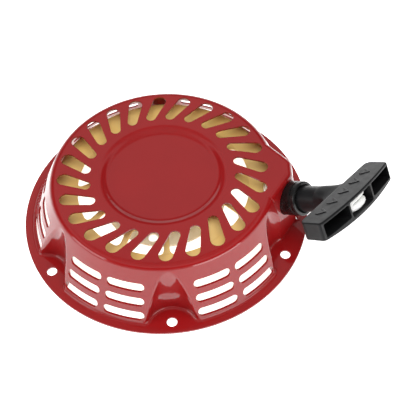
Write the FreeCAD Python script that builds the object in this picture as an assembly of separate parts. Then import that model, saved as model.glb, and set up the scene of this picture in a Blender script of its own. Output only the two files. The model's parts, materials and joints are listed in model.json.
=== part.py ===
"""Recoil starter for a small air-cooled engine, one solid per piece.

Origin: centre of the mounting flange, on its underside. +Z points away from the engine,
+X points to the boss that carries the rope guide. Millimetres.
"""
import FreeCAD, Part
import math
import os
from FreeCAD import Vector

# ---------------------------------------------------------------- driving dimensions
SHEET = 1.2                 # thickness of the pressed steel
FLANGE_RADIUS = 99.0
BOLT_CIRCLE = 91.0          # radius: the six holes lie on a 182 mm circle
BOLT_HOLE = 3.4
SECTORS = 6
TOP_Z = 41.5                # outside of the flat top
WALL_LEAN = 24.7            # degrees from the vertical
WALL_RADIUS_20 = 84.85      # outside of the wall at z = 20
SHOULDER = 5.0              # bend radius between wall and top
FOOT = 2.0                  # bend radius between wall and flange
DISH_RADIUS = 43.3          # sunk middle of the top
DISH_FLOOR = 36.2
DISH_DEPTH = 2.5

POCKET_RADIUS = 17.5        # dent over each bolt hole, at the flange
POCKET_TAPER = 0.154        # radius lost per millimetre of height
POCKET_CENTRE = 97.85
POCKET_LEAN = 0.251         # how fast its centre moves in
POCKET_EDGE = 3.0           # bend radius where it meets the wall

FACET_LEAN = 12.0           # flat facet that carries the rope guide
FACET_START = 19.0
BOSS_CORNER = 7.0
BOSS_EDGE = 4.0

TOP_SLOTS = 24
SLOT_CENTRE = 59.5
SLOT_TILT = -26.5           # from radial
SLOT_START = 2.4            # first slot, measured from a bolt hole
SLOT_INNER = 3.4
SLOT_OUTER = 4.7
SLOT_LENGTH = 24.0
SIDE_ROWS = (26.5, 16.7, 7.0)
SIDE_HEIGHT = 5.8
SIDE_GAP = 1.5              # degrees from the middle of a sector
SIDE_END = 18.9

ROPE = 2.5                  # rope radius
REEL_Z = 25.6               # height at which the rope leaves the reel
ROPE_OUTER = 36.5           # radius of the rope's outer layer
ROPE_INNER = 31.3
COIL_PITCH = 5.05
PULL_TURN = -36.4           # direction of the pull, seen from above
PULL_RISE = 31.0            # and above the horizontal
PULL_ROLL = -13.0           # twist of the grip about its own barrel
GUIDE_REACH = 77.0          # from the reel's tangent point to the guide
ROPE_BEND = 14.0

GUIDE_RADIUS = 11.5
GUIDE_OUT = 13.5
GUIDE_CUP = 3.5             # depth to which the grip's barrel sits in the guide
BARREL_RADIUS = 8.7
HEAD_BACK = 39.4
HEAD_FRONT = 55.9
HEAD_BOW = 3.4
HEAD_HALF = 40.2
HEAD_TOP = 6.9
HEAD_BOTTOM = 4.9
HEAD_SAG = 2.3

POST_RADIUS = 7.0
POST_HEAD = 10.0
RUNNING = 0.05              # radial clearance of a running fit
CLEAR = 0.3                 # gap between pieces that move past each other

PAWL_PIVOT = 17.5
PAWL_TURNS = (60.0, 240.0)  # where the two pawls pivot on the reel
PAWL_HUB = 4.4
PAWL_SWING = 38.0
GUIDE_SWING = 30.0
PEG_ARM = 9.0
PEG_RADIUS = 1.5

Z = Vector(0, 0, 1)
LEAN = math.radians(WALL_LEAN)


# ---------------------------------------------------------------- small helpers
def polar(radius, turn, z=0.0):
    angle = math.radians(turn)
    return Vector(radius * math.cos(angle), radius * math.sin(angle), z)


def cylinder(radius, low, high, x=0.0, y=0.0):
    return Part.makeCylinder(radius, high - low, Vector(x, y, low), Z)


def ring(outer, inner, low, high):
    return cylinder(outer, low, high).cut(cylinder(inner, low - 1, high + 1))


def turned(shape, turn):
    copy = shape.copy()
    copy.rotate(Vector(0, 0, 0), Z, turn)
    return copy


def revolve(edges):
    wire = Part.Wire(Part.__sortEdges__(edges))
    return Part.Face(wire).revolve(Vector(0, 0, 0), Z, 360)


def lines(points):
    pairs = zip(points, points[1:])
    return [Part.LineSegment(a, b).toShape() for a, b in pairs if a.distanceToPoint(b) > 1e-6]


def flat(points):
    return Part.Face(Part.makePolygon(list(points) + [points[0]]))


def arc(start, middle, end):
    return Part.Arc(start, middle, end).toShape()


def tapered_slot(centre_a, radius_a, centre_b, radius_b):
    """Face on a horizontal plane: the outline around two circles of different size."""
    along = centre_b - centre_a
    gap = along.Length
    heading = math.degrees(math.atan2(along.y, along.x))
    spread = math.degrees(math.acos((radius_a - radius_b) / gap))
    a1 = centre_a + polar(radius_a, heading + spread)
    a2 = centre_a + polar(radius_a, heading - spread)
    b1 = centre_b + polar(radius_b, heading + spread)
    b2 = centre_b + polar(radius_b, heading - spread)
    end_a = centre_a - polar(radius_a, heading)
    end_b = centre_b + polar(radius_b, heading)
    edges = [arc(a1, end_a, a2), arc(b2, end_b, b1)] + lines([a2, b2]) + lines([b1, a1])
    return Part.Face(Part.Wire(Part.__sortEdges__(edges)))


def tube(points, radius):
    """A round bar along a smooth curve through the points."""
    curve = Part.BSplineCurve()
    curve.interpolate(points)
    spine = Part.Wire([curve.toShape()])
    heading = points[1] - points[0]
    start = curve.tangent(curve.FirstParameter)[0]
    circle = Part.Circle(points[0], start, radius)
    profile = Part.Wire([circle.toShape()])
    return spine.makePipeShell([profile], True, heading.Length < 0)


def rounded(shape, radius, chosen):
    """Fillet every edge of the shape for which chosen(edge) is true."""
    edges = [edge for edge in shape.Edges if chosen(edge)]
    return shape.makeFillet(radius, edges)


# ---------------------------------------------------------------- frame of the grip
def pull_axes():
    """Unit vectors along the pull, along the grip's head and out of its upper face."""
    rise = math.radians(PULL_RISE)
    roll = math.radians(PULL_ROLL)
    out = polar(math.cos(rise), PULL_TURN, math.sin(rise))
    level = polar(1.0, PULL_TURN + 90)
    up = out.cross(level)
    head = level * math.cos(roll) + up * math.sin(roll)
    return out, head, out.cross(head)


OUT, HEAD, FACE = pull_axes()
FORWARD = polar(1.0, PULL_TURN)
TANGENT = polar(ROPE_OUTER, PULL_TURN + 90, REEL_Z)
GUIDE = TANGENT + FORWARD * GUIDE_REACH


def placed_on_guide(shape):
    """Local x along the pull from the guide point, y along the head, z out of its upper face."""
    matrix = FreeCAD.Matrix(OUT.x, HEAD.x, FACE.x, GUIDE.x,
                            OUT.y, HEAD.y, FACE.y, GUIDE.y,
                            OUT.z, HEAD.z, FACE.z, GUIDE.z,
                            0, 0, 0, 1)
    copy = shape.copy()
    copy.Placement = FreeCAD.Placement(matrix).multiply(copy.Placement)
    return copy


def barrel_x(radius, start, end):
    return Part.makeCylinder(radius, end - start, Vector(start, 0, 0), Vector(1, 0, 0))


# ---------------------------------------------------------------- starter case
def wall_radius(z, inset):
    return WALL_RADIUS_20 - math.tan(LEAN) * (z - 20) - inset / math.cos(LEAN)


def pan(inset):
    """The round pan: flange, leaning wall, shoulder, flat top and sunk middle, moved in by inset."""
    top = TOP_Z - inset
    turn = math.tan((math.pi / 2 - LEAN) / 2)
    half = math.radians(WALL_LEAN / 2 + 45)
    bend = SHOULDER - inset
    corner = wall_radius(top, inset)
    reach = bend * turn
    wall_top = Vector(corner + reach * math.sin(LEAN), 0, top - reach * math.cos(LEAN))
    bend_mid = Vector(corner - reach + bend * math.cos(half), 0, top - bend + bend * math.sin(half))
    flat_edge = Vector(corner - reach, 0, top)

    dish_edge = Vector(DISH_RADIUS, 0, top)
    dish_floor = Vector(DISH_FLOOR, 0, top - DISH_DEPTH)
    middle = (DISH_RADIUS + DISH_FLOOR) / 2
    slope = Part.BezierCurve()
    slope.setPoles([dish_edge, Vector(middle, 0, top), Vector(middle, 0, top - DISH_DEPTH), dish_floor])

    foot_z = SHEET if inset == 0 else -1.0
    wall_foot = Vector(wall_radius(foot_z, inset), 0, foot_z)
    rim = [wall_foot, Vector(0, 0, foot_z)]
    if inset == 0:
        rim = [wall_foot, Vector(FLANGE_RADIUS, 0, SHEET), Vector(FLANGE_RADIUS, 0, 0), Vector(0, 0, 0)]
    edges = lines(rim + [Vector(0, 0, top - DISH_DEPTH), dish_floor])
    edges += [slope.toShape()]
    edges += lines([dish_edge, flat_edge])
    edges += [arc(flat_edge, bend_mid, wall_top)]
    edges += lines([wall_top, wall_foot])
    return revolve(edges)


def facet_distance(z):
    """Distance of the guide's flat facet from the axis, along the pull."""
    return GUIDE_REACH + math.tan(math.radians(FACET_LEAN)) * (REEL_Z - z)


def boss_block(inset):
    """The corner that bulges out of the wall to carry the rope guide."""
    side = polar(1.0, PULL_TURN + 90)
    low = -1.0 if inset else 0.0
    high = TOP_Z - inset
    facet_low = FORWARD * (facet_distance(low) - inset)
    facet_high = FORWARD * (facet_distance(high) - inset)
    low_points = [Vector(50, -20, 0), facet_low + side * 20, facet_low + side * (46 - inset),
                  Vector(93.0 - inset, 7.5 - inset / 2, 0), Vector(81.0 - inset, 31.5 - inset, 0),
                  Vector(50, 20, 0)]
    high_points = [Vector(50, -20, 0), facet_high + side * 20, facet_high + side * (45 - inset),
                   Vector(86.8 - inset, 3.2 - inset / 2, 0), Vector(70.8 - inset, 21.8 - inset, 0),
                   Vector(50, 20, 0)]
    wires = []
    for points, z in ((low_points, low), (high_points, high)):
        lifted = [Vector(p.x, p.y, z) for p in points]
        wires.append(Part.makePolygon(lifted + [lifted[0]]))
    block = Part.makeLoft(wires, True, True)
    corners = [edge for edge in block.Edges if edge.BoundBox.ZLength > 30 and edge.BoundBox.XMin > 84]
    block = block.makeFillet(BOSS_CORNER - inset, corners)
    return rounded(block, BOSS_EDGE - inset, lambda edge: is_boss_edge(edge, high))


def is_boss_edge(edge, high):
    """True for the outer edges of the boss's flat top."""
    box = edge.BoundBox
    middle = edge.valueAt((edge.FirstParameter + edge.LastParameter) / 2)
    return box.ZMin > high - 0.01 and middle.Length > 78


def facet_tool(inset):
    """What is cut away to leave the flat facet around the guide."""
    side = polar(1.0, PULL_TURN + 90)
    low = SHEET if inset == 0 else -2.0
    near = FACET_START - inset
    section = []
    for z, far in ((low, 40.0), (low, 0.0), (TOP_Z - 5, 0.0), (TOP_Z - 5, 40.0)):
        distance = facet_distance(z) - inset + far
        section.append(FORWARD * distance + side * near + Vector(0, 0, z))
    return flat(section).extrude(side * (40 - near))


def pocket_tool(inset):
    """The dent over a bolt hole, on the +X side."""
    low = SHEET if inset == 0 else -2.0
    rings = []
    for z in (low, TOP_Z + 3.0):
        radius = POCKET_RADIUS - POCKET_TAPER * z + inset
        centre = POCKET_CENTRE - POCKET_LEAN * z
        circle = Part.Circle(Vector(centre, 0, z), Z, radius)
        rings.append(Part.Wire([circle.toShape()]))
    return Part.makeLoft(rings, True, True)


def middle_of(edge):
    return edge.valueAt((edge.FirstParameter + edge.LastParameter) / 2)


def is_arch(edge):
    """True for the long edge where a pocket cuts the wall."""
    point = middle_of(edge)
    apart = (math.degrees(math.atan2(point.y, point.x)) - 30) % 60
    return edge.BoundBox.ZLength > 8 and min(apart, 60 - apart) < 14 and point.Length < 96


def is_foot(edge):
    """True for the edges where the wall and the pockets meet the flange."""
    box = edge.BoundBox
    reach = math.hypot(middle_of(edge).x, middle_of(edge).y)
    return abs(box.ZMax - SHEET) < 0.02 and box.ZLength < 0.05 and 70 < reach < 98


def pan_form(inset):
    form = pan(inset)
    for sector in range(SECTORS):
        form = form.cut(turned(pocket_tool(inset), 30 + 60 * sector))
    form = rounded(form, POCKET_EDGE - inset, is_arch)
    if inset == 0:
        form = rounded(form, FOOT, is_foot)
    return form.fuse(boss_block(inset)).cut(facet_tool(inset))


def top_slot(turn):
    centre = polar(SLOT_CENTRE, turn)
    axis = polar(1.0, turn + SLOT_TILT)
    half = SLOT_LENGTH / 2
    inner = centre - axis * (half - SLOT_INNER)
    outer = centre + axis * (half - SLOT_OUTER)
    face = tapered_slot(inner, SLOT_INNER, outer, SLOT_OUTER)
    face.translate(Vector(0, 0, TOP_Z - 4))
    return face.extrude(Vector(0, 0, 8))


def side_slot(z):
    """A rounded slot through the wall on the +X side, beside the middle of a sector."""
    radius = wall_radius(z, 0)
    middle = (SIDE_GAP + SIDE_END) / 2
    half = radius * math.tan(math.radians((SIDE_END - SIDE_GAP) / 2))
    end = SIDE_HEIGHT / 2
    left = Vector(0, -half + end, 0)
    right = Vector(0, half - end, 0)
    face = tapered_slot(left, end, right, end)
    face.rotate(Vector(0, 0, 0), Vector(0, 1, 0), 90)
    face.translate(Vector(radius - 12, 0, z))
    return [turned(face.extrude(Vector(24, 0, 0)), sign * middle) for sign in (-1, 1)]


def make_case():
    case = pan_form(0).cut(pan_form(SHEET))
    cuts = []
    for index in range(TOP_SLOTS):
        cuts.append(top_slot(30 + SLOT_START + 15 * index))
    for sector in range(1, SECTORS):
        for z in SIDE_ROWS:
            cuts += [turned(slot, 60 * sector) for slot in side_slot(z)]
    for sector in range(SECTORS):
        hole = polar(BOLT_CIRCLE, 30 + 60 * sector)
        cuts.append(cylinder(BOLT_HOLE, -1, 3, hole.x, hole.y))
    cuts.append(placed_on_guide(barrel_x(GUIDE_RADIUS + 0.15, -12, 14)))
    return case.cut(Part.makeCompound(cuts))


# ---------------------------------------------------------------- inner cup and post
CUP_RING = 30.0              # outside of the flat outer ring
CUP_RADIUS = 75.5
CUP_LIP_END = 24.5
CUP_BEND = 2.2
CONE_INNER = 41.0
CONE_OUTER = 58.0
WINDOW_OUTER = 58.5
WINDOW_INNER = 45.0
WINDOW_CORNER = 3.4
SPOKES = 12
SPOKE_WIDTH = 3.8
WIDE_SPOKES = (-50.0, -6.0)
WIDE_SPOKE_WIDTH = 11.0
PLAIN_FROM = 30.0            # the side away from the near bolt holes has no windows
PLAIN_TO = 150.0
GUIDE_FLANGE = 12.8
DISH_UNDERSIDE = TOP_Z - DISH_DEPTH - SHEET


def make_inner_cup():
    """Zinc-plated cup spot-welded under the sunk middle; it covers the reel and holds the post."""
    bend = CUP_BEND * math.sqrt(0.5)
    inner_bend = (CUP_BEND - SHEET) * math.sqrt(0.5)
    centre = Vector(CUP_RADIUS - CUP_BEND, 0, CUP_RING - CUP_BEND)
    outside = [Vector(0, 0, DISH_UNDERSIDE), Vector(CONE_INNER, 0, DISH_UNDERSIDE),
               Vector(CONE_OUTER, 0, CUP_RING), Vector(centre.x, 0, CUP_RING)]
    lip = [Vector(CUP_RADIUS, 0, centre.z), Vector(CUP_RADIUS, 0, CUP_LIP_END),
           Vector(CUP_RADIUS - SHEET, 0, CUP_LIP_END), Vector(CUP_RADIUS - SHEET, 0, centre.z)]
    inside = [Vector(centre.x, 0, CUP_RING - SHEET), Vector(CONE_OUTER - 0.4, 0, CUP_RING - SHEET),
              Vector(CONE_INNER - 0.4, 0, DISH_UNDERSIDE - SHEET), Vector(0, 0, DISH_UNDERSIDE - SHEET),
              outside[0]]
    edges = lines(outside) + lines(lip) + lines(inside)
    edges.append(arc(outside[-1], centre + Vector(bend, 0, bend), lip[0]))
    edges.append(arc(lip[-1], centre + Vector(inner_bend, 0, inner_bend), inside[0]))
    cup = revolve(edges)

    windows = ring(WINDOW_OUTER, WINDOW_INNER, CUP_RING - 3, DISH_UNDERSIDE + 1)
    spokes = [(360 / SPOKES * index, SPOKE_WIDTH) for index in range(SPOKES)]
    spokes += [(turn, WIDE_SPOKE_WIDTH) for turn in WIDE_SPOKES]
    for turn, width in spokes:
        spoke = Part.makeBox(40, width, 20, Vector(35, -width / 2, CUP_RING - 5))
        windows = windows.cut(turned(spoke, turn))
    for window in windows.Solids:
        middle = math.degrees(math.atan2(window.CenterOfMass.y, window.CenterOfMass.x))
        if window.Volume > 300 and not PLAIN_FROM < middle < PLAIN_TO:
            cup = cup.cut(rounded(window, WINDOW_CORNER, is_upright))
    return cup.cut(placed_on_guide(barrel_x(GUIDE_FLANGE + 0.7, -16, 3)))


def is_upright(edge):
    box = edge.BoundBox
    return box.ZLength > 1 and box.XLength < 0.01 and box.YLength < 0.01


POST_END = 13.2
POST_SHOULDER = 23.0
POST_BASE = 16.0
THREAD = 3.0
SPRING_SLOT = 1.4


def make_centre_post():
    top = DISH_UNDERSIDE - SHEET
    post = cylinder(POST_RADIUS, POST_END, top)
    post = post.fuse(cylinder(POST_HEAD, POST_SHOULDER, top))
    post = post.fuse(cylinder(POST_BASE, top - 1.4, top))
    slot = Part.makeBox(POST_HEAD, SPRING_SLOT, 11.5, Vector(6.0, -SPRING_SLOT / 2, POST_SHOULDER))
    post = post.cut(slot).cut(cylinder(THREAD, POST_END - 1, 29.5))
    return post.removeSplitter()


# ---------------------------------------------------------------- reel and spring
REEL_BOTTOM = 14.5
REEL_TOP = 34.9
REEL_RADIUS = 42.0
GROOVE_LOW = 16.0
GROOVE_HIGH = 33.4
BARREL = 28.5
CAVITY = 24.8
WEB_TOP = 22.0
HUB_FACE = 13.5
KNOT_TURN = 181.0
KNOT_RADIUS = 19.6
KNOT_POCKET = 5.6
OUTER_TURNS = 1.0
INNER_TURNS = 2.0
PIN_RADIUS = 2.5
SPRING_WELL = 5.9
SPRING_TURN = 16.0          # keeps the spring's leg clear of the open pawl
TAIL_Z = 17.9               # height of the knot in the reel
NOTCH_TURN = 80.0


def winding_points():
    """Centre line of the wound rope, from the tangent point back to the knot in the reel."""
    points = []
    step = 15
    cross = 90
    tail = 30
    total = int(360 * (OUTER_TURNS + INNER_TURNS)) + cross + tail
    for back in range(0, total + 1, step):
        if back <= 360:
            radius = ROPE_OUTER
            z = REEL_Z + COIL_PITCH * back / 360
        elif back <= 360 + cross:
            share = (back - 360) / cross
            radius = ROPE_OUTER + (ROPE_INNER - ROPE_OUTER) * share * share * (3 - 2 * share)
            z = REEL_Z + COIL_PITCH
        else:
            radius = ROPE_INNER
            z = REEL_Z + COIL_PITCH - COIL_PITCH * (back - 360 - cross) / 360
        inward = max(0, back - (total - tail)) / tail
        radius -= (ROPE_INNER - 25.6) * inward * inward
        z -= (z - TAIL_Z) * inward * inward
        points.append(polar(radius, PULL_TURN + 90 + back, z))
    return points


def rope_tail_channel():
    return tube(winding_points()[-4:], ROPE + 0.4)


def make_reel():
    outline = [Vector(POST_RADIUS + RUNNING, 0, HUB_FACE), Vector(11.5, 0, HUB_FACE), Vector(11.5, 0, REEL_BOTTOM),
               Vector(REEL_RADIUS, 0, REEL_BOTTOM), Vector(REEL_RADIUS, 0, GROOVE_LOW),
               Vector(BARREL, 0, GROOVE_LOW), Vector(BARREL, 0, GROOVE_HIGH),
               Vector(REEL_RADIUS, 0, GROOVE_HIGH), Vector(REEL_RADIUS, 0, REEL_TOP),
               Vector(CAVITY, 0, REEL_TOP), Vector(CAVITY, 0, WEB_TOP), Vector(POST_RADIUS + RUNNING, 0, WEB_TOP)]
    reel = revolve(lines(outline + [outline[0]]))
    rims = [edge for edge in reel.Edges if edge.BoundBox.XMax > REEL_RADIUS - 0.01]
    reel = reel.makeFillet(0.6, rims)
    for turn in PAWL_TURNS:
        pivot = polar(PAWL_PIVOT, turn)
        reel = reel.cut(cylinder(PIN_RADIUS, 13, 20.5, pivot.x, pivot.y))
        reel = reel.cut(cylinder(SPRING_WELL, 13, 17.2, pivot.x, pivot.y))
        leg = Part.makeBox(1.4, 4.6, 2.7, Vector(PAWL_PIVOT - 0.7, -8.6, 14.5))
        leg.rotate(Vector(PAWL_PIVOT, 0, 0), Z, SPRING_TURN)
        reel = reel.cut(turned(leg, turn))
    knot = polar(KNOT_RADIUS, KNOT_TURN)
    reel = reel.cut(cylinder(KNOT_POCKET, 13, 21, knot.x, knot.y)).cut(rope_tail_channel())
    notch = Part.makeBox(3.2, 2.6, 20, Vector(CAVITY - 1, -1.3, WEB_TOP))
    reel = reel.cut(turned(notch, NOTCH_TURN))
    for index in range(6):
        spot = polar(35.5, 60 * index + 15)
        reel = reel.cut(cylinder(3.2, 13, GROOVE_LOW + 0.1, spot.x, spot.y))
    return reel


STRIP = 0.6
SPRING_INNER = 12.4
SPRING_OUTER = 24.1
SPRING_COILS = 9
SPRING_LOW = 23.6
SPRING_HIGH = 32.6


def make_recoil_spring():
    """Flat spiral strip: the inner end hooks into the post, the outer end into the reel."""
    sweep = 360 * SPRING_COILS + NOTCH_TURN
    sides = []
    for offset in (-STRIP / 2, STRIP / 2):
        points = []
        count = SPRING_COILS * 9
        for index in range(count + 1):
            share = index / count
            radius = SPRING_INNER + (SPRING_OUTER - SPRING_INNER) * share + offset
            points.append(polar(radius, sweep * share, SPRING_LOW))
        curve = Part.BSplineCurve()
        curve.interpolate(points)
        sides.append((curve.toShape(), points[0], points[-1]))
    edges = [sides[0][0], sides[1][0]]
    edges += lines([sides[0][1], sides[1][1]]) + lines([sides[0][2], sides[1][2]])
    spiral = Part.Face(Part.Wire(Part.__sortEdges__(edges))).extrude(Vector(0, 0, SPRING_HIGH - SPRING_LOW))
    height = SPRING_HIGH - SPRING_LOW
    inner_hook = Part.makeBox(SPRING_INNER - 7.0, STRIP, height, Vector(7.0, 0, SPRING_LOW))
    outer_hook = Part.makeBox(2.6, STRIP, height, Vector(SPRING_OUTER, -STRIP, SPRING_LOW))
    return spiral.fuse(inner_hook).fuse(turned(outer_hook, NOTCH_TURN)).removeSplitter()


def knot_loop(half, rise, thick):
    """A tight knot drawn as one flattened loop: two straight runs joined by half circles."""
    top = [Vector(0, -half, rise), Vector(0, half, rise)]
    bottom = [Vector(0, half, -rise), Vector(0, -half, -rise)]
    edges = lines(top) + [arc(top[1], Vector(0, half + rise, 0), bottom[0])]
    edges += lines(bottom) + [arc(bottom[1], Vector(0, -half - rise, 0), top[0])]
    profile = Part.Wire([Part.Circle(top[0], Vector(0, 1, 0), thick).toShape()])
    return Part.Wire(edges).makePipeShell([profile], True, False)


def make_reel_knot():
    knot = knot_loop(1.2, 1.9, 1.75)
    knot.rotate(Vector(0, 0, 0), Vector(0, 1, 0), 90)
    knot.translate(polar(KNOT_RADIUS, KNOT_TURN, TAIL_Z))
    return knot


def make_rope_winding():
    return tube(winding_points(), ROPE)


# ---------------------------------------------------------------- clutch under the reel
PAWL_LOW = 9.9
PAWL_HIGH = 13.9
PLATE_LOW = 8.0
PLATE_HIGH = 9.4
PLATE_RADIUS = 27.0
SHOULDER_RADIUS = 4.0
SCREW_FLANGE = 5.4
PAWL_REST = -5.0            # closed direction, from the tangent
COIL_POINTS = 16            # per turn of a wire spring


def pawl_shape():
    """Closed pawl with its pivot at the origin and its tip along +x."""
    body = tapered_slot(Vector(0, 0, 0), PAWL_HUB, Vector(15.0, 0.4, 0), 2.4)
    body = body.extrude(Vector(0, 0, PAWL_HIGH - PAWL_LOW))
    claw = flat([Vector(11.0, 1.0, 0), Vector(18.2, 5.2, 0), Vector(18.4, 0.5, 0), Vector(15.0, -1.5, 0)])
    body = body.fuse(claw.extrude(Vector(0, 0, PAWL_HIGH - PAWL_LOW)))
    body = body.cut(cylinder(PIN_RADIUS + RUNNING, -1, 6))
    peg = cylinder(PEG_RADIUS, PLATE_LOW - 0.4 - PAWL_LOW, 0, PEG_ARM, 0)
    return body.fuse(peg).removeSplitter()


def make_pawl(turn):
    pawl = pawl_shape()
    pawl.rotate(Vector(0, 0, 0), Z, turn - 90 + PAWL_REST)
    pawl.translate(polar(PAWL_PIVOT, turn, PAWL_LOW))
    return pawl


def peg_in_plate(turn, swing):
    """Where a pawl's peg stands in the ratchet guide when the guide has turned by swing degrees."""
    opened = swing * PAWL_SWING / GUIDE_SWING
    peg = polar(PAWL_PIVOT, turn) + polar(PEG_ARM, turn - 90 + PAWL_REST + opened)
    return turned(Part.Vertex(peg), -swing).Point


def make_ratchet_guide():
    plate = cylinder(PLATE_RADIUS, PLATE_LOW, PLATE_HIGH).fuse(cylinder(7.2, PLATE_HIGH, 11.8))
    plate = plate.cut(cylinder(SHOULDER_RADIUS + RUNNING, 5, 15))
    groove = PEG_RADIUS + 0.25
    steps = 8
    for turn in PAWL_TURNS:
        stops = [peg_in_plate(turn, GUIDE_SWING * step / steps) for step in range(steps + 1)]
        for start, end in zip(stops, stops[1:]):
            piece = tapered_slot(start, groove, end, groove)
            piece.translate(Vector(0, 0, PLATE_LOW - 1))
            plate = plate.cut(piece.extrude(Vector(0, 0, 4)))
        window = polar(15.5, turn + 62)
        plate = plate.cut(cylinder(4.5, 5, 12, window.x, window.y))
    return plate.removeSplitter()


def coil(radius, wire, low, turns, pitch):
    """Round wire wound as a helix about the Z axis."""
    count = round(COIL_POINTS * turns)
    points = []
    for index in range(count + 1):
        share = index / count
        points.append(polar(radius, 360 * turns * share, low + pitch * turns * share))
    return tube(points, wire)


def make_pawl_spring(turn):
    """Hairpin around the pivot: one leg in the reel, the other beside the pawl."""
    spring = coil(5.1, 0.35, 15.2, 1.75, 0.85)
    leg = cylinder(0.35, 11.0, 15.2, 5.1, 0)
    stay = Part.makeCylinder(0.35, 3.4, Vector(0, -4.6, 16.69), Vector(0, -1, 0))
    spring = spring.fuse(leg).fuse(stay)
    spring.rotate(Vector(0, 0, 0), Z, turn + SPRING_TURN)
    spring.translate(polar(PAWL_PIVOT, turn))
    return spring


def make_pawl_pins():
    pins = []
    for turn in PAWL_TURNS:
        pivot = polar(PAWL_PIVOT, turn)
        pins.append(cylinder(PIN_RADIUS, PLATE_HIGH + CLEAR, 20.5, pivot.x, pivot.y))
    return Part.makeCompound(pins)


def make_reel_screw():
    """Shoulder screw: it holds the washer, and the ratchet guide turns on it."""
    hexagon = [polar(6.93, 60 * index, 1.6) for index in range(6)]
    screw = flat(hexagon).extrude(Vector(0, 0, 3.2))
    screw = screw.common(Part.makeCone(6.3, 9.5, 3.2, Vector(0, 0, 1.6), Z))
    screw = screw.fuse(cylinder(7.8, 4.6, SCREW_FLANGE))
    screw = screw.fuse(cylinder(SHOULDER_RADIUS, SCREW_FLANGE, 12.1))
    return screw.fuse(cylinder(THREAD - 0.1, 12.1, 28)).removeSplitter()


# ---------------------------------------------------------------- rope, guide and grip
LEAD_END = 50.3


def make_rope_lead():
    """The rope from the reel, bent up through the guide and on to the knot in the grip."""
    reach = ROPE_BEND * math.tan(math.radians(PULL_RISE / 2))
    before = GUIDE - FORWARD * reach
    after = GUIDE + OUT * reach
    centre = before + Z * ROPE_BEND
    middle = centre + ((before - centre) + (after - centre)).normalize() * ROPE_BEND
    edges = lines([TANGENT, before]) + [arc(before, middle, after)] + lines([after, GUIDE + OUT * LEAD_END])
    profile = Part.Wire([Part.Circle(TANGENT, FORWARD, ROPE).toShape()])
    return Part.Wire(edges).makePipeShell([profile], True, False)


def make_rope_guide():
    """Rubber bush, held in the wall by its groove; the grip's barrel rests in its cup."""
    bush = barrel_x(GUIDE_RADIUS, -6.8, GUIDE_OUT).fuse(barrel_x(GUIDE_FLANGE, -8.5, -6.8))
    bush = rounded(bush, 1.0, lambda edge: edge.BoundBox.XMin > GUIDE_OUT - 0.1)
    bush = bush.cut(barrel_x(GUIDE_RADIUS + 1, 9.2, 9.9).cut(barrel_x(GUIDE_RADIUS - 0.6, 9, 10)))
    mouth = Part.makeCone(8.4, ROPE + 0.7, 12.5, Vector(-8.5, 0, 0), Vector(1, 0, 0))
    bush = bush.cut(mouth).cut(barrel_x(ROPE + 0.7, 0, 20))
    cup = barrel_x(BARREL_RADIUS + 0.9, GUIDE_OUT - GUIDE_CUP, GUIDE_OUT + 1)
    return placed_on_guide(bush.cut(cup))


FLARE_START = 27.0
FLARE_END = 41.8
FLARE_LIP = 0.03            # keeps the flare's skin just outside the barrel's


def barrel_section(x, share):
    """Closed outline across the barrel: round at share 0, wide and flat at share 1."""
    ease = share * share * (3 - 2 * share)
    half_wide = BARREL_RADIUS + FLARE_LIP + 9.5 * share ** 3
    half_high = BARREL_RADIUS + FLARE_LIP + (HEAD_TOP - 0.3 - BARREL_RADIUS) * ease
    power = 2 / (2 + 3.0 * share)
    points = []
    for index in range(24):
        angle = math.radians(15 * index)
        across = math.copysign(abs(math.cos(angle)) ** power, math.cos(angle))
        over = math.copysign(abs(math.sin(angle)) ** power, math.sin(angle))
        points.append(Vector(x, half_wide * across, half_high * over))
    curve = Part.BSplineCurve()
    curve.interpolate(points, True)
    return Part.Wire([curve.toShape()])


def head_block():
    """Outside of the grip's cross-bar."""
    corners = [Vector(HEAD_FRONT, -HEAD_HALF, -10), Vector(HEAD_BACK, -HEAD_HALF, -10),
               Vector(HEAD_BACK, HEAD_HALF, -10), Vector(HEAD_FRONT, HEAD_HALF, -10)]
    bow = arc(corners[3], Vector(HEAD_FRONT + HEAD_BOW, 0, -10), corners[0])
    outline = Part.Face(Part.Wire(Part.__sortEdges__(lines(corners) + [bow])))
    block = outline.extrude(Vector(0, 0, 10 + HEAD_TOP))
    block = rounded(block, 4.5, lambda edge: is_upright(edge) and edge.BoundBox.XMax < HEAD_BACK + 0.1)
    block = rounded(block, 2.5, lambda edge: is_upright(edge) and edge.BoundBox.XMin > HEAD_FRONT - 0.1)
    half = HEAD_HALF + 1
    low = [Vector(0, -half, -HEAD_BOTTOM), Vector(0, -half, HEAD_TOP), Vector(0, half, HEAD_TOP),
           Vector(0, half, -HEAD_BOTTOM)]
    sag = arc(low[3], Vector(0, 0, -HEAD_BOTTOM - HEAD_SAG), low[0])
    section = Part.Face(Part.Wire(Part.__sortEdges__(lines(low) + [sag])))
    return block.common(section.extrude(Vector(80, 0, 0)))


def chevron(y):
    """Raised arrow head on the upper face, pointing the way the grip is pulled."""
    base = HEAD_TOP - 0.3
    points = [(44.8, -3.4), (48.8, 0), (44.8, 3.4), (46.8, 3.4), (51.1, 0), (46.8, -3.4)]
    return flat([Vector(a, y + b, base) for a, b in points]).extrude(Vector(0, 0, 0.7))


CHAMBER = 12.0
RIB = 1.4
SKIN = 1.7
POCKET_FLOOR = 43.0


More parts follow.
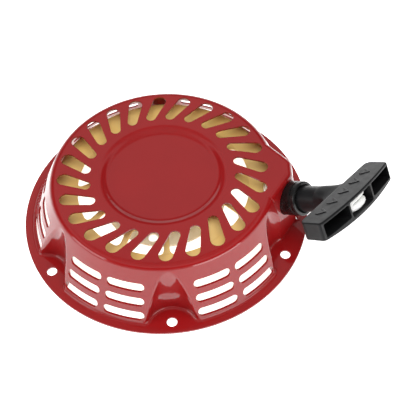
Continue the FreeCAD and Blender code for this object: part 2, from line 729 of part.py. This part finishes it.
def make_grip():
    head = head_block()
    head = rounded(head, 1.0, lambda edge: edge.BoundBox.ZMin > HEAD_TOP - 0.01)
    sections = []
    for index in range(7):
        share = index / 6
        sections.append(barrel_section(FLARE_START + (FLARE_END - FLARE_START) * share, share))
    flare = Part.makeLoft(sections, True)
    stem = barrel_x(BARREL_RADIUS, GUIDE_OUT - GUIDE_CUP + CLEAR, FLARE_START + 2)
    stem = rounded(stem, 1.0, lambda edge: edge.BoundBox.XMax < 20)
    bore = barrel_x(ROPE + 0.7, 5, 70)
    grip = head.cut(bore).fuse(flare.cut(bore)).fuse(stem.cut(bore))
    for y in (-26, -13, 0, 13, 26):
        grip = grip.fuse(chevron(y))
    roof = HEAD_TOP - SKIN
    low = 1.0 - HEAD_BOTTOM
    deep = SKIN - HEAD_BOTTOM - 0.9 * HEAD_SAG
    side = CHAMBER + RIB
    far = HEAD_HALF - SKIN - 0.6
    pockets = [Part.makeBox(20, 2 * CHAMBER, roof - deep, Vector(POCKET_FLOOR, -CHAMBER, deep))]
    for y in (side, -far):
        pockets.append(Part.makeBox(20, far - side, roof - low, Vector(POCKET_FLOOR, y, low)))
    for pocket in pockets:
        grip = grip.cut(rounded(pocket, 1.2, lambda edge: edge.BoundBox.XLength > 10))
    return placed_on_guide(grip)


def make_grip_knot():
    knot = knot_loop(4.2, 2.45, 2.3)
    knot.translate(Vector(LEAD_END + 2.5, 0, 0))
    return placed_on_guide(knot)


# ---------------------------------------------------------------- write the pieces
def save(name, shape):
    shape.exportStep("parts/" + name + ".step")
    box = shape.BoundBox
    print(f"{name:16s} solids {len(shape.Solids)} valid {shape.isValid()} volume {shape.Volume:8.0f}"
          f"  x {box.XMin:.1f} {box.XMax:.1f}  y {box.YMin:.1f} {box.YMax:.1f}  z {box.ZMin:.1f} {box.ZMax:.1f}")


os.makedirs("parts", exist_ok=True)
save("starter_case", make_case())
save("inner_cup", make_inner_cup())
save("centre_post", make_centre_post())
save("thrust_washer", ring(12.0, POST_RADIUS + 0.15, WEB_TOP + 0.1, POST_SHOULDER))
save("reel", make_reel())
save("recoil_spring", make_recoil_spring())
save("rope_winding", make_rope_winding())
save("reel_knot", make_reel_knot())
save("pawl_pins", make_pawl_pins())
for letter, turn in zip("ab", PAWL_TURNS):
    save("pawl_" + letter, make_pawl(turn))
    save("pawl_spring_" + letter, make_pawl_spring(turn))
save("ratchet_guide", make_ratchet_guide())
save("friction_spring", coil(5.4, 0.4, 5.85, 1.4, 1.0))
save("screw_washer", ring(12.0, 3.1, 12.1, POST_END))
save("reel_screw", make_reel_screw())
save("rope_guide", make_rope_guide())
save("rope_lead", make_rope_lead())
save("grip", make_grip())
save("grip_knot", make_grip_knot())
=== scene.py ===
"""Looks of the recoil starter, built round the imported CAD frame. Metres, same frame as the CAD."""
import json
import math

import bmesh
import bpy
from mathutils import Matrix, Vector


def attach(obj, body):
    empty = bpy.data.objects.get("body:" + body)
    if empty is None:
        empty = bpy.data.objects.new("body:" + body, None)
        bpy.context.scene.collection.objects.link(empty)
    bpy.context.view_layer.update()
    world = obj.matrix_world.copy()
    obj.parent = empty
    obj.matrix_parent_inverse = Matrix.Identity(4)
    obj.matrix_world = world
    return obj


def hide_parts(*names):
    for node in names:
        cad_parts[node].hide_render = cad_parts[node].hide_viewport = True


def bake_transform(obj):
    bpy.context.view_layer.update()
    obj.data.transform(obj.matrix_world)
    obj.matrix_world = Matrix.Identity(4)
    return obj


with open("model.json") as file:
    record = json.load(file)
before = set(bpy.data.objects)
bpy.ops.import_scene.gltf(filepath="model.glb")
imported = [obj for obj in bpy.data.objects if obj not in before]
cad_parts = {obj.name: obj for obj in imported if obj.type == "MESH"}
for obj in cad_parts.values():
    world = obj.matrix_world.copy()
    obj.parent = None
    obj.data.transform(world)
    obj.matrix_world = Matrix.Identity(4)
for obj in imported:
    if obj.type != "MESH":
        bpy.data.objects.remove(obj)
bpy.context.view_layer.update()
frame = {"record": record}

# ---------------------------------------------------------------- camera, in the object's frame
CAMERA_PLACE = (0.0150, -0.3720, 0.4921)
CAMERA_DOWN = 52.4          # degrees below the horizon
CAMERA_TURN = -1.42         # degrees about the vertical
CAMERA_ROLL = -2.95
CAMERA_LENS = 78.5          # millimetres
CAMERA_SENSOR = 36.0        # millimetres

# ---------------------------------------------------------------- studio
STUDIO_STRENGTH = 2.0
# sine of the height above the horizon, grey level
STUDIO = (
    (0.0, 0.38), (0.17, 0.38), (0.26, 0.04), (0.60, 0.04),
    (0.72, 0.28), (0.80, 0.30), (0.88, 0.08), (1.0, 0.05),
)
FLOOR_SIZE = 6.0
FLOOR_Z = -0.0002           # just under the flange


# ---------------------------------------------------------------- material helpers
RAMP_ENDS = (0.3, 0.7)      # noise values where a colour ramp starts and ends


class Shader:
    """A Principled material with short ways to add nodes to it."""

    def __init__(self, name, colour, roughness, metallic=0.0):
        self.material = bpy.data.materials.new(name)
        self.material.use_nodes = True
        self.tree = self.material.node_tree
        self.shader = self.tree.nodes["Principled BSDF"]
        self.set("Base Color", (*colour, 1))
        self.set("Roughness", roughness)
        self.set("Metallic", metallic)
        self.place = self.node("ShaderNodeTexCoord").outputs["Object"]

    def node(self, kind, **values):
        node = self.tree.nodes.new(kind)
        for key, value in values.items():
            setattr(node, key, value)
        return node

    def link(self, a, b):
        self.tree.links.new(a, b)

    def set(self, socket, value):
        self.shader.inputs[socket].default_value = value

    def noise(self, scale, detail=4.0, roughness=0.5, stretch=None):
        noise = self.node("ShaderNodeTexNoise")
        noise.inputs["Scale"].default_value = scale
        noise.inputs["Detail"].default_value = detail
        noise.inputs["Roughness"].default_value = roughness
        place = self.place
        if stretch:
            mapping = self.node("ShaderNodeMapping")
            mapping.inputs["Scale"].default_value = stretch
            self.link(place, mapping.inputs["Vector"])
            place = mapping.outputs["Vector"]
        self.link(place, noise.inputs["Vector"])
        return noise.outputs["Fac"]

    def ramp(self, value, low, high):
        """Colour ramp between two colours, or two grey levels given as numbers."""
        ramp = self.node("ShaderNodeValToRGB")
        for element, position, tone in zip(ramp.color_ramp.elements, RAMP_ENDS, (low, high)):
            element.position = position
            element.color = (*tone, 1) if isinstance(tone, tuple) else (tone, tone, tone, 1)
        self.link(value, ramp.inputs["Fac"])
        return ramp.outputs["Color"]

    def colours(self, value, low, high):
        self.link(self.ramp(value, low, high), self.shader.inputs["Base Color"])

    def roughnesses(self, value, low, high):
        self.link(self.ramp(value, low, high), self.shader.inputs["Roughness"])

    def bump(self, value, height, strength, soften):
        """Surface relief in metres, on edges rounded by the radius in soften."""
        bump = self.node("ShaderNodeBump")
        bump.inputs["Distance"].default_value = height
        bump.inputs["Strength"].default_value = strength
        self.link(value, bump.inputs["Height"])
        self.link(self.rounded_edges(soften), bump.inputs["Normal"])
        self.link(bump.outputs["Normal"], self.shader.inputs["Normal"])

    def rounded_edges(self, radius):
        bevel = self.node("ShaderNodeBevel", samples=4)
        bevel.inputs["Radius"].default_value = radius
        return bevel.outputs["Normal"]


def red_enamel():
    paint = Shader("red_enamel", (0.26, 0.004, 0.005), 0.3)
    paint.colours(paint.noise(18, 3), (0.245, 0.0037, 0.0045), (0.275, 0.0048, 0.0055))
    paint.set("Specular IOR Level", 0.15)
    paint.set("Coat Weight", 1.0)
    paint.set("Coat Roughness", 0.03)
    paint.roughnesses(paint.noise(60, 4), 0.28, 0.36)
    paint.bump(paint.noise(420, 2), 0.00002, 0.4, soften=0.0006)
    return paint.material


def yellow_zinc():
    zinc = Shader("yellow_zinc", (0.92, 0.66, 0.22), 0.42, 0.15)
    zinc.colours(zinc.noise(35, 5), (0.95, 0.66, 0.19), (0.90, 0.66, 0.25))
    zinc.roughnesses(zinc.noise(120, 5), 0.36, 0.48)
    zinc.bump(zinc.noise(900, 3), 0.00001, 0.4, soften=0.0004)
    return zinc.material


def turned_steel(name, colour, roughness):
    steel = Shader(name, colour, roughness, 1.0)
    darker = tuple(0.82 * part for part in colour)
    steel.colours(steel.noise(90, 5), darker, colour)
    steel.roughnesses(steel.noise(300, 4, stretch=(1, 1, 12)), roughness - 0.06, roughness + 0.1)
    steel.bump(steel.noise(700, 3, stretch=(1, 1, 10)), 0.00001, 0.5, soften=0.0003)
    return steel.material


def moulded(name, colour, roughness, texture, height, shine=0.5):
    plastic = Shader(name, colour, roughness)
    plastic.set("Specular IOR Level", shine)
    lighter = tuple(min(1, 1.25 * part) for part in colour)
    plastic.colours(plastic.noise(70, 4), colour, lighter)
    plastic.roughnesses(plastic.noise(250, 4), roughness - 0.06, roughness + 0.07)
    plastic.bump(plastic.noise(texture, 3, 0.6), height, 0.6, soften=0.0005)
    return plastic.material


def finish_nodes():
    """Give every CAD node the material of its slot in the record."""
    finishes = {
        "red_paint": red_enamel(),
        "yellow_zinc": yellow_zinc(),
        "bright_steel": turned_steel("bright_steel", (0.66, 0.66, 0.67), 0.28),
        "zinc_steel": turned_steel("zinc_steel", (0.72, 0.73, 0.74), 0.36),
        "spring_steel": turned_steel("spring_steel", (0.20, 0.21, 0.26), 0.32),
        "cream_nylon": moulded("cream_nylon", (0.88, 0.84, 0.70), 0.42, 900, 0.00002),
        "black_nylon": moulded("black_nylon", (0.022, 0.022, 0.024), 0.45, 1100, 0.00003),
        "grip_plastic": moulded("grip_plastic", (0.007, 0.007, 0.0075), 0.34, 2200, 0.00003, shine=0.26),
        "black_rubber": moulded("black_rubber", (0.005, 0.005, 0.005), 0.28, 1500, 0.00001),
        "white_rope": moulded("white_rope", (0.83, 0.83, 0.81), 0.75, 1600, 0.0001),
    }
    slot_of = {part["node"]: part["material_slot"] for part in frame["record"]["subparts"]}
    for node, slot in slot_of.items():
        piece = bpy.data.objects[node]
        for holder in piece.material_slots:
            holder.material = finishes[slot]


# ---------------------------------------------------------------- rope
ROPE_RADIUS = 0.0025
STRANDS = 8                 # each way round
BRAID_PITCH = 0.0042        # length of one full turn of a strand, divided by STRANDS
REEL_Z = 0.0256
OUTER_LAYER = 0.0365
INNER_LAYER = 0.0313
COIL_PITCH = 0.00505
CROSSING = 90               # degrees, from the outer layer to the inner one
TAIL = 30                   # degrees, from the inner layer to the knot
TAIL_RADIUS = 0.0256
TAIL_Z = 0.0179
PULL_TURN = -36.4
PULL_RISE = 31.0
PULL_ROLL = -13.0
GUIDE_REACH = 0.077
ROPE_BEND = 0.014
LEAD_END = 0.0503
REEL_KNOT_RADIUS = 0.0196   # from the reel's axis
REEL_KNOT_TURN = 181.0
TIGHT_IN_GRIP = 0.00235     # rope radius where a knot squeezes it
TIGHT_IN_REEL = 0.0017
FINE_STEP = 0.0003          # between the rings of a braided rope
WINDING_STEP = 0.00055


def polar(radius, turn, z=0.0):
    angle = math.radians(turn)
    return Vector((radius * math.cos(angle), radius * math.sin(angle), z))


def pull_axes():
    """Unit vectors along the pull, along the grip's cross-bar and out of its upper face."""
    rise, roll = math.radians(PULL_RISE), math.radians(PULL_ROLL)
    out = polar(math.cos(rise), PULL_TURN, math.sin(rise))
    level = polar(1.0, PULL_TURN + 90)
    head = level * math.cos(roll) + out.cross(level) * math.sin(roll)
    return out, head, out.cross(head)


OUT, HEAD, FACE = pull_axes()
FORWARD = polar(1.0, PULL_TURN)
TANGENT = polar(OUTER_LAYER, PULL_TURN + 90, REEL_Z)
GUIDE = TANGENT + FORWARD * GUIDE_REACH


def grip_point(along, across, over):
    """A point given in millimetres in the grip's own directions, from the guide."""
    return GUIDE + (OUT * along + HEAD * across + FACE * over) * 0.001


def smooth_line(points, step):
    """Even steps along a NURBS curve through the control points."""
    curve = bpy.data.curves.new("line", "CURVE")
    curve.dimensions = "3D"
    spline = curve.splines.new("NURBS")
    spline.points.add(len(points) - 1)
    for holder, point in zip(spline.points, points):
        holder.co = (*point, 1)
    spline.order_u = 3
    spline.use_endpoint_u = True
    spline.resolution_u = 24
    holder = bpy.data.objects.new("line", curve)
    mesh = bpy.data.meshes.new_from_object(holder)
    line = [vertex.co.copy() for vertex in mesh.vertices]
    bpy.data.objects.remove(holder)
    bpy.data.curves.remove(curve)
    bpy.data.meshes.remove(mesh)
    return even_steps(line, step)


def even_steps(line, step):
    """Points along the line, about one step apart."""
    lengths = [0.0]
    for start, end in zip(line, line[1:]):
        lengths.append(lengths[-1] + (end - start).length)
    count = max(2, round(lengths[-1] / step))
    result = []
    index = 0
    for number in range(count + 1):
        wanted = lengths[-1] * number / count
        while index < len(line) - 2 and lengths[index + 1] < wanted:
            index += 1
        span = lengths[index + 1] - lengths[index]
        share = (wanted - lengths[index]) / span if span else 0
        result.append(line[index].lerp(line[index + 1], share))
    return result


def braid_height(turn, along):
    """Relief of a plain braid, 0 in the valleys and 1 on the crowns."""
    u = STRANDS * turn / math.tau + along / BRAID_PITCH
    v = STRANDS * turn / math.tau - along / BRAID_PITCH
    side_u, side_v = math.sin(math.pi * u), math.sin(math.pi * v)
    over = math.tanh(3 * side_u * side_v)
    return max(abs(side_u) * (0.5 + 0.5 * over), abs(side_v) * (0.5 - 0.5 * over))


def braided_rope(name, line, radius, body, around=48):
    """A braided rope along a line of evenly spaced points."""
    work = bmesh.new()
    tangent = (line[1] - line[0]).normalized()
    side = tangent.orthogonal().normalized()
    along = 0.0
    rings = []
    for index, point in enumerate(line):
        before = line[max(index - 1, 0)]
        after = line[min(index + 1, len(line) - 1)]
        turned = (after - before).normalized()
        side = (tangent.rotation_difference(turned) @ side).normalized()
        tangent = turned
        other = tangent.cross(side)
        along += (point - before).length
        circle = []
        for number in range(around):
            turn = math.tau * number / around
            reach = radius * (0.86 + 0.14 * braid_height(turn, along))
            spot = point + (side * math.cos(turn) + other * math.sin(turn)) * reach
            circle.append(work.verts.new(spot))
        rings.append(circle)
    for first, second in zip(rings, rings[1:]):
        for number in range(around):
            after = (number + 1) % around
            work.faces.new((first[number], first[after], second[after], second[number]))
    work.faces.new(list(reversed(rings[0])))
    work.faces.new(rings[-1])
    mesh = bpy.data.meshes.new(name)
    work.to_mesh(mesh)
    work.free()
    for face in mesh.polygons:
        face.use_smooth = True
    piece = bpy.data.objects.new(name, mesh)
    bpy.context.scene.collection.objects.link(piece)
    mesh.materials.append(bpy.data.materials["white_rope"])
    if body:
        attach(piece, body)
    return piece


def winding_line():
    """The wound rope's centre line: one turn outside, a crossing, two turns inside, the tail."""
    points = []
    total = 360 * 3 + CROSSING + TAIL
    for back in range(0, total + 1, 5):
        radius, z = INNER_LAYER, REEL_Z + COIL_PITCH * (1 - (back - 360 - CROSSING) / 360)
        if back <= 360:
            radius, z = OUTER_LAYER, REEL_Z + COIL_PITCH * back / 360
        elif back <= 360 + CROSSING:
            share = (back - 360) / CROSSING
            ease = share * share * (3 - 2 * share)
            radius, z = OUTER_LAYER + (INNER_LAYER - OUTER_LAYER) * ease, REEL_Z + COIL_PITCH
        inward = max(0, back - (total - TAIL)) / TAIL
        radius -= (INNER_LAYER - TAIL_RADIUS) * inward * inward
        z -= (z - TAIL_Z) * inward * inward
        points.append(polar(radius, PULL_TURN + 90 + back, z))
    return even_steps(points, WINDING_STEP)


def lead_line():
    """From the reel's tangent point, bent up in the guide, to the knot in the grip."""
    half = math.radians(PULL_RISE / 2)
    reach = ROPE_BEND * math.tan(half)
    before = GUIDE - FORWARD * reach
    centre = before + Vector((0, 0, ROPE_BEND))
    points = [TANGENT, before]
    for part in range(1, 9):
        angle = math.radians(PULL_RISE * part / 8)
        points.append(centre + (FORWARD * math.sin(angle) - Vector((0, 0, 1)) * math.cos(angle)) * ROPE_BEND)
    points.append(GUIDE + OUT * LEAD_END)
    return even_steps(points, FINE_STEP)


def grip_knot_line():
    """The knot as it sits in the grip: out of the barrel and twice across the chamber."""
    route = [(46.5, 0.5, 0.3), (48.0, 3.4, 1.2), (50.4, 7.0, 2.0), (53.6, 8.0, 2.6), (54.8, 4.4, 2.9),
             (55.3, 0.0, 2.9), (54.9, -4.6, 2.8), (53.6, -8.2, 1.6), (53.4, -8.2, -1.6), (54.8, -4.6, -2.8),
             (55.3, 0.0, -2.9), (54.9, 4.6, -2.9), (53.2, 8.4, -2.6), (50.4, 6.6, -1.6), (48.6, 2.0, -1.4),
             (48.6, -3.6, -1.6)]
    return smooth_line([grip_point(*point) for point in route], FINE_STEP)


def reel_knot_line():
    """A small flat knot at the end of the rope, in its pocket in the reel."""
    centre = polar(REEL_KNOT_RADIUS, REEL_KNOT_TURN, TAIL_Z)
    points = []
    for part in range(0, 33):
        angle = math.tau * part / 24
        drop = 0.0011 * math.cos(angle / 2)
        points.append(centre + Vector((0.0021 * math.cos(angle), 0.0029 * math.sin(angle), drop)))
    return even_steps(points, FINE_STEP)


def build_ropes():
    winding = braided_rope("braided_winding", winding_line(), ROPE_RADIUS, "reel", around=40)
    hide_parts("rope_winding")
    lead = braided_rope("braided_lead", lead_line(), ROPE_RADIUS, None)
    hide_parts("rope_lead")
    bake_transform(lead)
    knot = braided_rope("braided_grip_knot", grip_knot_line(), TIGHT_IN_GRIP, "grip")
    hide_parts("grip_knot")
    end = braided_rope("braided_reel_knot", reel_knot_line(), TIGHT_IN_REEL, "reel", around=32)
    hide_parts("reel_knot")


# ---------------------------------------------------------------- floor, light and camera
def build_floor():
    mesh = bpy.data.meshes.new("floor")
    work = bmesh.new()
    bmesh.ops.create_grid(work, x_segments=2, y_segments=2, size=FLOOR_SIZE)
    work.to_mesh(mesh)
    work.free()
    floor = bpy.data.objects.new("floor", mesh)
    floor.location.z = FLOOR_Z
    bpy.context.scene.collection.objects.link(floor)
    paper = Shader("pale_paper", (0.9, 0.9, 0.9), 0.9)
    paper.set("Emission Color", (1, 1, 1, 1))
    paper.set("Emission Strength", 0.9)
    mesh.materials.append(paper.material)


def add_area(name, place, target, size, power):
    light = bpy.data.lights.new(name, "AREA")
    light.shape = "RECTANGLE"
    light.size, light.size_y = size
    light.energy = power
    lamp = bpy.data.objects.new(name, light)
    aim = (Vector(target) - Vector(place)).to_track_quat("-Z", "Y")
    lamp.matrix_world = Matrix.Translation(place) @ aim.to_matrix().to_4x4()
    bpy.context.scene.collection.objects.link(lamp)
    return lamp


def build_light():
    """Pale walls near the horizon, a dark gap, a pale band higher up, and three soft lamps."""
    world = bpy.data.worlds.new("studio")
    world.use_nodes = True
    tree = world.node_tree
    place = tree.nodes.new("ShaderNodeTexCoord")
    split = tree.nodes.new("ShaderNodeSeparateXYZ")
    ramp = tree.nodes.new("ShaderNodeValToRGB")
    tree.links.new(place.outputs["Generated"], split.inputs["Vector"])
    tree.links.new(split.outputs["Z"], ramp.inputs["Fac"])
    tree.links.new(ramp.outputs["Color"], tree.nodes["Background"].inputs["Color"])
    while len(ramp.color_ramp.elements) < len(STUDIO):
        ramp.color_ramp.elements.new(0.5)
    for element, (height, level) in zip(ramp.color_ramp.elements, STUDIO):
        element.position = height
        element.color = (level, level, level, 1)
    tree.nodes["Background"].inputs["Strength"].default_value = STUDIO_STRENGTH
    bpy.context.scene.world = world
    add_area("ceiling", (0, -0.2, 1.2), (0, 0, 0), (1.3, 1.3), 18.5).visible_glossy = False
    add_area("left_softbox", (-1.3, -0.5, 0.5), (0, 0, 0), (0.8, 0.5), 4.0)
    add_area("front_softbox", (1.0, -1.2, 0.20), (0, 0, 0.02), (1.2, 0.35), 6.0)


def build_camera():
    camera = bpy.data.cameras.new("camera")
    camera.lens = CAMERA_LENS
    camera.sensor_width = CAMERA_SENSOR
    camera.clip_start = 0.01
    down, turn, roll = (math.radians(v) for v in (CAMERA_DOWN, CAMERA_TURN, CAMERA_ROLL))
    tilt = Matrix.Rotation(math.pi / 2 - down, 3, "X")
    facing = Matrix.Rotation(turn, 3, "Z") @ tilt @ Matrix.Rotation(roll, 3, "Z")
    holder = bpy.data.objects.new("camera", camera)
    holder.matrix_world = Matrix.Translation(CAMERA_PLACE) @ facing.to_4x4()
    bpy.context.scene.collection.objects.link(holder)
    bpy.context.scene.camera = holder


# ---------------------------------------------------------------- put it together
finish_nodes()
build_ropes()
build_floor()
build_light()
build_camera()
bpy.context.scene.view_settings.view_transform = "Standard"
